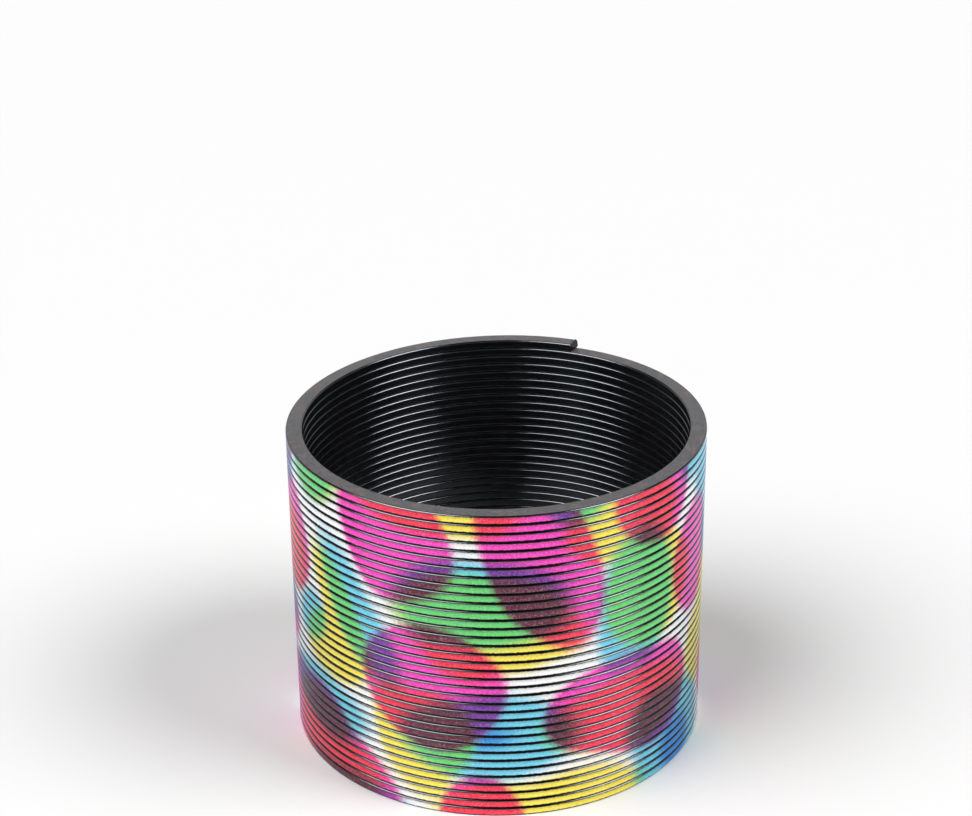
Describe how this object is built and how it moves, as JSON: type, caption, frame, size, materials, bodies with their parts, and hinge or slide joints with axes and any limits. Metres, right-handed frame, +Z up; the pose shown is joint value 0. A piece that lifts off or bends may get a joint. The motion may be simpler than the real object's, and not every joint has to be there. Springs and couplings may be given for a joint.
{
  "type": "coil spring toy",
  "caption": "Closed coil spring toy: one flat plastic strip wound into a short hollow cylinder that stretches out and bends over into an arch.",
  "frame": {"origin": "centre of the coil's axis on the surface that it stands on", "axes": "+Z up along the closed coil's axis; -Y is the front; the coil's ends and half turns meet in the plane Y = 0 at +X and -X"},
  "size_m": [0.076, 0.076, 0.0605],
  "materials": {
    "strip_plastic": "gloss black moulded plastic with a rainbow foil print on the outer edge of every turn"
  },
  "bodies": {
    "base_turns": {"base_turns": "strip_plastic"},
    "turn_04_back": {"turn_04_back": "strip_plastic"},
    "turn_05_front": {"turn_05_front": "strip_plastic"},
    "turn_05_back": {"turn_05_back": "strip_plastic"},
    "turn_06_front": {"turn_06_front": "strip_plastic"},
    "turn_06_back": {"turn_06_back": "strip_plastic"},
    "turn_07_front": {"turn_07_front": "strip_plastic"},
    "turn_07_back": {"turn_07_back": "strip_plastic"},
    "turn_08_front": {"turn_08_front": "strip_plastic"},
    "turn_08_back": {"turn_08_back": "strip_plastic"},
    "turn_09_front": {"turn_09_front": "strip_plastic"},
    "turn_09_back": {"turn_09_back": "strip_plastic"},
    "turn_10_front": {"turn_10_front": "strip_plastic"},
    "turn_10_back": {"turn_10_back": "strip_plastic"},
    "turn_11_front": {"turn_11_front": "strip_plastic"},
    "turn_11_back": {"turn_11_back": "strip_plastic"},
    "turn_12_front": {"turn_12_front": "strip_plastic"},
    "turn_12_back": {"turn_12_back": "strip_plastic"},
    "turn_13_front": {"turn_13_front": "strip_plastic"},
    "turn_13_back": {"turn_13_back": "strip_plastic"},
    "turn_14_front": {"turn_14_front": "strip_plastic"},
    "turn_14_back": {"turn_14_back": "strip_plastic"},
    "turn_15_front": {"turn_15_front": "strip_plastic"},
    "turn_15_back": {"turn_15_back": "strip_plastic"},
    "turn_16_front": {"turn_16_front": "strip_plastic"},
    "turn_16_back": {"turn_16_back": "strip_plastic"},
    "turn_17_front": {"turn_17_front": "strip_plastic"},
    "turn_17_back": {"turn_17_back": "strip_plastic"},
    "turn_18_front": {"turn_18_front": "strip_plastic"},
    "turn_18_back": {"turn_18_back": "strip_plastic"},
    "turn_19_front": {"turn_19_front": "strip_plastic"},
    "turn_19_back": {"turn_19_back": "strip_plastic"},
    "turn_20_front": {"turn_20_front": "strip_plastic"},
    "turn_20_back": {"turn_20_back": "strip_plastic"},
    "turn_21_front": {"turn_21_front": "strip_plastic"},
    "turn_21_back": {"turn_21_back": "strip_plastic"},
    "turn_22_front": {"turn_22_front": "strip_plastic"},
    "turn_22_back": {"turn_22_back": "strip_plastic"},
    "turn_23_front": {"turn_23_front": "strip_plastic"},
    "turn_23_back": {"turn_23_back": "strip_plastic"},
    "turn_24_front": {"turn_24_front": "strip_plastic"},
    "turn_24_back": {"turn_24_back": "strip_plastic"},
    "turn_25_front": {"turn_25_front": "strip_plastic"},
    "turn_25_back": {"turn_25_back": "strip_plastic"},
    "turn_26_front": {"turn_26_front": "strip_plastic"},
    "turn_26_back": {"turn_26_back": "strip_plastic"},
    "turn_27_front": {"turn_27_front": "strip_plastic"},
    "turn_27_back": {"turn_27_back": "strip_plastic"},
    "turn_28_front": {"turn_28_front": "strip_plastic"},
    "turn_28_back": {"turn_28_back": "strip_plastic"},
    "turn_29_front": {"turn_29_front": "strip_plastic"},
    "turn_29_back": {"turn_29_back": "strip_plastic"},
    "turn_30_front": {"turn_30_front": "strip_plastic"},
    "turn_30_back": {"turn_30_back": "strip_plastic"},
    "turn_31_front": {"turn_31_front": "strip_plastic"},
    "turn_31_back": {"turn_31_back": "strip_plastic"},
    "turn_32_front": {"turn_32_front": "strip_plastic"},
    "turn_32_back": {"turn_32_back": "strip_plastic"},
    "turn_33_front": {"turn_33_front": "strip_plastic"},
    "top_turns": {"top_turns": "strip_plastic"}
  },
  "joints": [
    {"name": "twist_04_left", "type": "hinge", "parent": "base_turns", "child": "turn_04_back", "pos_m": [-0.038, 0, 0.00573], "axis": [0, -1, 0], "range_deg": [0, 3.1], "stiffness_Nm_per_rad": 0.023},
    {"name": "twist_04_right", "type": "hinge", "parent": "turn_04_back", "child": "turn_05_front", "pos_m": [0.038, 0, 0.00737], "axis": [0, 1, 0], "range_deg": [0, 6.2], "stiffness_Nm_per_rad": 0.023},
    {"name": "twist_05_left", "type": "hinge", "parent": "turn_05_front", "child": "turn_05_back", "pos_m": [-0.038, 0, 0.00737], "axis": [0, -1, 0], "range_deg": [0, 6.2], "stiffness_Nm_per_rad": 0.023},
    {"name": "twist_05_right", "type": "hinge", "parent": "turn_05_back", "child": "turn_06_front", "pos_m": [0.038, 0, 0.00903], "axis": [0, 1, 0], "range_deg": [0, 6.2], "stiffness_Nm_per_rad": 0.023},
    {"name": "twist_06_left", "type": "hinge", "parent": "turn_06_front", "child": "turn_06_back", "pos_m": [-0.038, 0, 0.00903], "axis": [0, -1, 0], "range_deg": [0, 6.2], "stiffness_Nm_per_rad": 0.023},
    {"name": "twist_06_right", "type": "hinge", "parent": "turn_06_back", "child": "turn_07_front", "pos_m": [0.038, 0, 0.01068], "axis": [0, 1, 0], "range_deg": [0, 6.2], "stiffness_Nm_per_rad": 0.023},
    {"name": "twist_07_left", "type": "hinge", "parent": "turn_07_front", "child": "turn_07_back", "pos_m": [-0.038, 0, 0.01068], "axis": [0, -1, 0], "range_deg": [0, 6.2], "stiffness_Nm_per_rad": 0.023},
    {"name": "twist_07_right", "type": "hinge", "parent": "turn_07_back", "child": "turn_08_front", "pos_m": [0.038, 0, 0.01232], "axis": [0, 1, 0], "range_deg": [0, 6.2], "stiffness_Nm_per_rad": 0.023},
    {"name": "twist_08_left", "type": "hinge", "parent": "turn_08_front", "child": "turn_08_back", "pos_m": [-0.038, 0, 0.01232], "axis": [0, -1, 0], "range_deg": [0, 6.2], "stiffness_Nm_per_rad": 0.023},
    {"name": "twist_08_right", "type": "hinge", "parent": "turn_08_back", "child": "turn_09_front", "pos_m": [0.038, 0, 0.01397], "axis": [0, 1, 0], "range_deg": [0, 6.2], "stiffness_Nm_per_rad": 0.023},
    {"name": "twist_09_left", "type": "hinge", "parent": "turn_09_front", "child": "turn_09_back", "pos_m": [-0.038, 0, 0.01397], "axis": [0, -1, 0], "range_deg": [0, 6.2], "stiffness_Nm_per_rad": 0.023},
    {"name": "twist_09_right", "type": "hinge", "parent": "turn_09_back", "child": "turn_10_front", "pos_m": [0.038, 0, 0.01562], "axis": [0, 1, 0], "range_deg": [0, 6.2], "stiffness_Nm_per_rad": 0.023},
    {"name": "twist_10_left", "type": "hinge", "parent": "turn_10_front", "child": "turn_10_back", "pos_m": [-0.038, 0, 0.01562], "axis": [0, -1, 0], "range_deg": [0, 6.2], "stiffness_Nm_per_rad": 0.023},
    {"name": "twist_10_right", "type": "hinge", "parent": "turn_10_back", "child": "turn_11_front", "pos_m": [0.038, 0, 0.01727], "axis": [0, 1, 0], "range_deg": [0, 6.2], "stiffness_Nm_per_rad": 0.023},
    {"name": "twist_11_left", "type": "hinge", "parent": "turn_11_front", "child": "turn_11_back", "pos_m": [-0.038, 0, 0.01727], "axis": [0, -1, 0], "range_deg": [0, 6.2], "stiffness_Nm_per_rad": 0.023},
    {"name": "twist_11_right", "type": "hinge", "parent": "turn_11_back", "child": "turn_12_front", "pos_m": [0.038, 0, 0.01893], "axis": [0, 1, 0], "range_deg": [0, 6.2], "stiffness_Nm_per_rad": 0.023},
    {"name": "twist_12_left", "type": "hinge", "parent": "turn_12_front", "child": "turn_12_back", "pos_m": [-0.038, 0, 0.01893], "axis": [0, -1, 0], "range_deg": [0, 6.2], "stiffness_Nm_per_rad": 0.023},
    {"name": "twist_12_right", "type": "hinge", "parent": "turn_12_back", "child": "turn_13_front", "pos_m": [0.038, 0, 0.02057], "axis": [0, 1, 0], "range_deg": [0, 6.2], "stiffness_Nm_per_rad": 0.023},
    {"name": "twist_13_left", "type": "hinge", "parent": "turn_13_front", "child": "turn_13_back", "pos_m": [-0.038, 0, 0.02057], "axis": [0, -1, 0], "range_deg": [0, 6.2], "stiffness_Nm_per_rad": 0.023},
    {"name": "twist_13_right", "type": "hinge", "parent": "turn_13_back", "child": "turn_14_front", "pos_m": [0.038, 0, 0.02223], "axis": [0, 1, 0], "range_deg": [0, 6.2], "stiffness_Nm_per_rad": 0.023},
    {"name": "twist_14_left", "type": "hinge", "parent": "turn_14_front", "child": "turn_14_back", "pos_m": [-0.038, 0, 0.02223], "axis": [0, -1, 0], "range_deg": [0, 6.2], "stiffness_Nm_per_rad": 0.023},
    {"name": "twist_14_right", "type": "hinge", "parent": "turn_14_back", "child": "turn_15_front", "pos_m": [0.038, 0, 0.02388], "axis": [0, 1, 0], "range_deg": [0, 6.2], "stiffness_Nm_per_rad": 0.023},
    {"name": "twist_15_left", "type": "hinge", "parent": "turn_15_front", "child": "turn_15_back", "pos_m": [-0.038, 0, 0.02388], "axis": [0, -1, 0], "range_deg": [0, 6.2], "stiffness_Nm_per_rad": 0.023},
    {"name": "twist_15_right", "type": "hinge", "parent": "turn_15_back", "child": "turn_16_front", "pos_m": [0.038, 0, 0.02552], "axis": [0, 1, 0], "range_deg": [0, 6.2], "stiffness_Nm_per_rad": 0.023},
    {"name": "twist_16_left", "type": "hinge", "parent": "turn_16_front", "child": "turn_16_back", "pos_m": [-0.038, 0, 0.02552], "axis": [0, -1, 0], "range_deg": [0, 6.2], "stiffness_Nm_per_rad": 0.023},
    {"name": "twist_16_right", "type": "hinge", "parent": "turn_16_back", "child": "turn_17_front", "pos_m": [0.038, 0, 0.02718], "axis": [0, 1, 0], "range_deg": [0, 6.2], "stiffness_Nm_per_rad": 0.023},
    {"name": "twist_17_left", "type": "hinge", "parent": "turn_17_front", "child": "turn_17_back", "pos_m": [-0.038, 0, 0.02718], "axis": [0, -1, 0], "range_deg": [0, 6.2], "stiffness_Nm_per_rad": 0.023},
    {"name": "twist_17_right", "type": "hinge", "parent": "turn_17_back", "child": "turn_18_front", "pos_m": [0.038, 0, 0.02882], "axis": [0, 1, 0], "range_deg": [0, 6.2], "stiffness_Nm_per_rad": 0.023},
    {"name": "twist_18_left", "type": "hinge", "parent": "turn_18_front", "child": "turn_18_back", "pos_m": [-0.038, 0, 0.02882], "axis": [0, -1, 0], "range_deg": [0, 6.2], "stiffness_Nm_per_rad": 0.023},
    {"name": "twist_18_right", "type": "hinge", "parent": "turn_18_back", "child": "turn_19_front", "pos_m": [0.038, 0, 0.03047], "axis": [0, 1, 0], "range_deg": [0, 6.2], "stiffness_Nm_per_rad": 0.023},
    {"name": "twist_19_left", "type": "hinge", "parent": "turn_19_front", "child": "turn_19_back", "pos_m": [-0.038, 0, 0.03047], "axis": [0, -1, 0], "range_deg": [0, 6.2], "stiffness_Nm_per_rad": 0.023},
    {"name": "twist_19_right", "type": "hinge", "parent": "turn_19_back", "child": "turn_20_front", "pos_m": [0.038, 0, 0.03213], "axis": [0, 1, 0], "range_deg": [0, 6.2], "stiffness_Nm_per_rad": 0.023},
    {"name": "twist_20_left", "type": "hinge", "parent": "turn_20_front", "child": "turn_20_back", "pos_m": [-0.038, 0, 0.03213], "axis": [0, -1, 0], "range_deg": [0, 6.2], "stiffness_Nm_per_rad": 0.023},
    {"name": "twist_20_right", "type": "hinge", "parent": "turn_20_back", "child": "turn_21_front", "pos_m": [0.038, 0, 0.03377], "axis": [0, 1, 0], "range_deg": [0, 6.2], "stiffness_Nm_per_rad": 0.023},
    {"name": "twist_21_left", "type": "hinge", "parent": "turn_21_front", "child": "turn_21_back", "pos_m": [-0.038, 0, 0.03377], "axis": [0, -1, 0], "range_deg": [0, 6.2], "stiffness_Nm_per_rad": 0.023},
    {"name": "twist_21_right", "type": "hinge", "parent": "turn_21_back", "child": "turn_22_front", "pos_m": [0.038, 0, 0.03542], "axis": [0, 1, 0], "range_deg": [0, 6.2], "stiffness_Nm_per_rad": 0.023},
    {"name": "twist_22_left", "type": "hinge", "parent": "turn_22_front", "child": "turn_22_back", "pos_m": [-0.038, 0, 0.03542], "axis": [0, -1, 0], "range_deg": [0, 6.2], "stiffness_Nm_per_rad": 0.023},
    {"name": "twist_22_right", "type": "hinge", "parent": "turn_22_back", "child": "turn_23_front", "pos_m": [0.038, 0, 0.03707], "axis": [0, 1, 0], "range_deg": [0, 6.2], "stiffness_Nm_per_rad": 0.023},
    {"name": "twist_23_left", "type": "hinge", "parent": "turn_23_front", "child": "turn_23_back", "pos_m": [-0.038, 0, 0.03707], "axis": [0, -1, 0], "range_deg": [0, 6.2], "stiffness_Nm_per_rad": 0.023},
    {"name": "twist_23_right", "type": "hinge", "parent": "turn_23_back", "child": "turn_24_front", "pos_m": [0.038, 0, 0.03873], "axis": [0, 1, 0], "range_deg": [0, 6.2], "stiffness_Nm_per_rad": 0.023},
    {"name": "twist_24_left", "type": "hinge", "parent": "turn_24_front", "child": "turn_24_back", "pos_m": [-0.038, 0, 0.03873], "axis": [0, -1, 0], "range_deg": [0, 6.2], "stiffness_Nm_per_rad": 0.023},
    {"name": "twist_24_right", "type": "hinge", "parent": "turn_24_back", "child": "turn_25_front", "pos_m": [0.038, 0, 0.04038], "axis": [0, 1, 0], "range_deg": [0, 6.2], "stiffness_Nm_per_rad": 0.023},
    {"name": "twist_25_left", "type": "hinge", "parent": "turn_25_front", "child": "turn_25_back", "pos_m": [-0.038, 0, 0.04038], "axis": [0, -1, 0], "range_deg": [0, 6.2], "stiffness_Nm_per_rad": 0.023},
    {"name": "twist_25_right", "type": "hinge", "parent": "turn_25_back", "child": "turn_26_front", "pos_m": [0.038, 0, 0.04202], "axis": [0, 1, 0], "range_deg": [0, 6.2], "stiffness_Nm_per_rad": 0.023},
    {"name": "twist_26_left", "type": "hinge", "parent": "turn_26_front", "child": "turn_26_back", "pos_m": [-0.038, 0, 0.04202], "axis": [0, -1, 0], "range_deg": [0, 6.2], "stiffness_Nm_per_rad": 0.023},
    {"name": "twist_26_right", "type": "hinge", "parent": "turn_26_back", "child": "turn_27_front", "pos_m": [0.038, 0, 0.04367], "axis": [0, 1, 0], "range_deg": [0, 6.2], "stiffness_Nm_per_rad": 0.023},
    {"name": "twist_27_left", "type": "hinge", "parent": "turn_27_front", "child": "turn_27_back", "pos_m": [-0.038, 0, 0.04367], "axis": [0, -1, 0], "range_deg": [0, 6.2], "stiffness_Nm_per_rad": 0.023},
    {"name": "twist_27_right", "type": "hinge", "parent": "turn_27_back", "child": "turn_28_front", "pos_m": [0.038, 0, 0.04532], "axis": [0, 1, 0], "range_deg": [0, 6.2], "stiffness_Nm_per_rad": 0.023},
    {"name": "twist_28_left", "type": "hinge", "parent": "turn_28_front", "child": "turn_28_back", "pos_m": [-0.038, 0, 0.04532], "axis": [0, -1, 0], "range_deg": [0, 6.2], "stiffness_Nm_per_rad": 0.023},
    {"name": "twist_28_right", "type": "hinge", "parent": "turn_28_back", "child": "turn_29_front", "pos_m": [0.038, 0, 0.04698], "axis": [0, 1, 0], "range_deg": [0, 6.2], "stiffness_Nm_per_rad": 0.023},
    {"name": "twist_29_left", "type": "hinge", "parent": "turn_29_front", "child": "turn_29_back", "pos_m": [-0.038, 0, 0.04698], "axis": [0, -1, 0], "range_deg": [0, 6.2], "stiffness_Nm_per_rad": 0.023},
    {"name": "twist_29_right", "type": "hinge", "parent": "turn_29_back", "child": "turn_30_front", "pos_m": [0.038, 0, 0.04863], "axis": [0, 1, 0], "range_deg": [0, 6.2], "stiffness_Nm_per_rad": 0.023},
    {"name": "twist_30_left", "type": "hinge", "parent": "turn_30_front", "child": "turn_30_back", "pos_m": [-0.038, 0, 0.04863], "axis": [0, -1, 0], "range_deg": [0, 6.2], "stiffness_Nm_per_rad": 0.023},
    {"name": "twist_30_right", "type": "hinge", "parent": "turn_30_back", "child": "turn_31_front", "pos_m": [0.038, 0, 0.05028], "axis": [0, 1, 0], "range_deg": [0, 6.2], "stiffness_Nm_per_rad": 0.023},
    {"name": "twist_31_left", "type": "hinge", "parent": "turn_31_front", "child": "turn_31_back", "pos_m": [-0.038, 0, 0.05028], "axis": [0, -1, 0], "range_deg": [0, 6.2], "stiffness_Nm_per_rad": 0.023},
    {"name": "twist_31_right", "type": "hinge", "parent": "turn_31_back", "child": "turn_32_front", "pos_m": [0.038, 0, 0.05192], "axis": [0, 1, 0], "range_deg": [0, 6.2], "stiffness_Nm_per_rad": 0.023},
    {"name": "twist_32_left", "type": "hinge", "parent": "turn_32_front", "child": "turn_32_back", "pos_m": [-0.038, 0, 0.05192], "axis": [0, -1, 0], "range_deg": [0, 6.2], "stiffness_Nm_per_rad": 0.023},
    {"name": "twist_32_right", "type": "hinge", "parent": "turn_32_back", "child": "turn_33_front", "pos_m": [0.038, 0, 0.05357], "axis": [0, 1, 0], "range_deg": [0, 6.2], "stiffness_Nm_per_rad": 0.023},
    {"name": "twist_33_left", "type": "hinge", "parent": "turn_33_front", "child": "top_turns", "pos_m": [-0.038, 0, 0.05357], "axis": [0, -1, 0], "range_deg": [0, 3.1], "stiffness_Nm_per_rad": 0.023}
  ],
  "couplings": [
    {"joint": "twist_04_left", "follows": "twist_05_left", "ratio": 0.5},
    {"joint": "twist_05_right", "follows": "twist_04_right", "ratio": 1},
    {"joint": "twist_06_left", "follows": "twist_05_left", "ratio": 1},
    {"joint": "twist_06_right", "follows": "twist_04_right", "ratio": 1},
    {"joint": "twist_07_left", "follows": "twist_05_left", "ratio": 1},
    {"joint": "twist_07_right", "follows": "twist_04_right", "ratio": 1},
    {"joint": "twist_08_left", "follows": "twist_05_left", "ratio": 1},
    {"joint": "twist_08_right", "follows": "twist_04_right", "ratio": 1},
    {"joint": "twist_09_left", "follows": "twist_05_left", "ratio": 1},
    {"joint": "twist_09_right", "follows": "twist_04_right", "ratio": 1},
    {"joint": "twist_10_left", "follows": "twist_05_left", "ratio": 1},
    {"joint": "twist_10_right", "follows": "twist_04_right", "ratio": 1},
    {"joint": "twist_11_left", "follows": "twist_05_left", "ratio": 1},
    {"joint": "twist_11_right", "follows": "twist_04_right", "ratio": 1},
    {"joint": "twist_12_left", "follows": "twist_05_left", "ratio": 1},
    {"joint": "twist_12_right", "follows": "twist_04_right", "ratio": 1},
    {"joint": "twist_13_left", "follows": "twist_05_left", "ratio": 1},
    {"joint": "twist_13_right", "follows": "twist_04_right", "ratio": 1},
    {"joint": "twist_14_left", "follows": "twist_05_left", "ratio": 1},
    {"joint": "twist_14_right", "follows": "twist_04_right", "ratio": 1},
    {"joint": "twist_15_left", "follows": "twist_05_left", "ratio": 1},
    {"joint": "twist_15_right", "follows": "twist_04_right", "ratio": 1},
    {"joint": "twist_16_left", "follows": "twist_05_left", "ratio": 1},
    {"joint": "twist_16_right", "follows": "twist_04_right", "ratio": 1},
    {"joint": "twist_17_left", "follows": "twist_05_left", "ratio": 1},
    {"joint": "twist_17_right", "follows": "twist_04_right", "ratio": 1},
    {"joint": "twist_18_left", "follows": "twist_05_left", "ratio": 1},
    {"joint": "twist_18_right", "follows": "twist_04_right", "ratio": 1},
    {"joint": "twist_19_left", "follows": "twist_05_left", "ratio": 1},
    {"joint": "twist_19_right", "follows": "twist_04_right", "ratio": 1},
    {"joint": "twist_20_left", "follows": "twist_05_left", "ratio": 1},
    {"joint": "twist_20_right", "follows": "twist_04_right", "ratio": 1},
    {"joint": "twist_21_left", "follows": "twist_05_left", "ratio": 1},
    {"joint": "twist_21_right", "follows": "twist_04_right", "ratio": 1},
    {"joint": "twist_22_left", "follows": "twist_05_left", "ratio": 1},
    {"joint": "twist_22_right", "follows": "twist_04_right", "ratio": 1},
    {"joint": "twist_23_left", "follows": "twist_05_left", "ratio": 1},
    {"joint": "twist_23_right", "follows": "twist_04_right", "ratio": 1},
    {"joint": "twist_24_left", "follows": "twist_05_left", "ratio": 1},
    {"joint": "twist_24_right", "follows": "twist_04_right", "ratio": 1},
    {"joint": "twist_25_left", "follows": "twist_05_left", "ratio": 1},
    {"joint": "twist_25_right", "follows": "twist_04_right", "ratio": 1},
    {"joint": "twist_26_left", "follows": "twist_05_left", "ratio": 1},
    {"joint": "twist_26_right", "follows": "twist_04_right", "ratio": 1},
    {"joint": "twist_27_left", "follows": "twist_05_left", "ratio": 1},
    {"joint": "twist_27_right", "follows": "twist_04_right", "ratio": 1},
    {"joint": "twist_28_left", "follows": "twist_05_left", "ratio": 1},
    {"joint": "twist_28_right", "follows": "twist_04_right", "ratio": 1},
    {"joint": "twist_29_left", "follows": "twist_05_left", "ratio": 1},
    {"joint": "twist_29_right", "follows": "twist_04_right", "ratio": 1},
    {"joint": "twist_30_left", "follows": "twist_05_left", "ratio": 1},
    {"joint": "twist_30_right", "follows": "twist_04_right", "ratio": 1},
    {"joint": "twist_31_left", "follows": "twist_05_left", "ratio": 1},
    {"joint": "twist_31_right", "follows": "twist_04_right", "ratio": 1},
    {"joint": "twist_32_left", "follows": "twist_05_left", "ratio": 1},
    {"joint": "twist_32_right", "follows": "twist_04_right", "ratio": 1},
    {"joint": "twist_33_left", "follows": "twist_05_left", "ratio": 0.5}
  ]
}
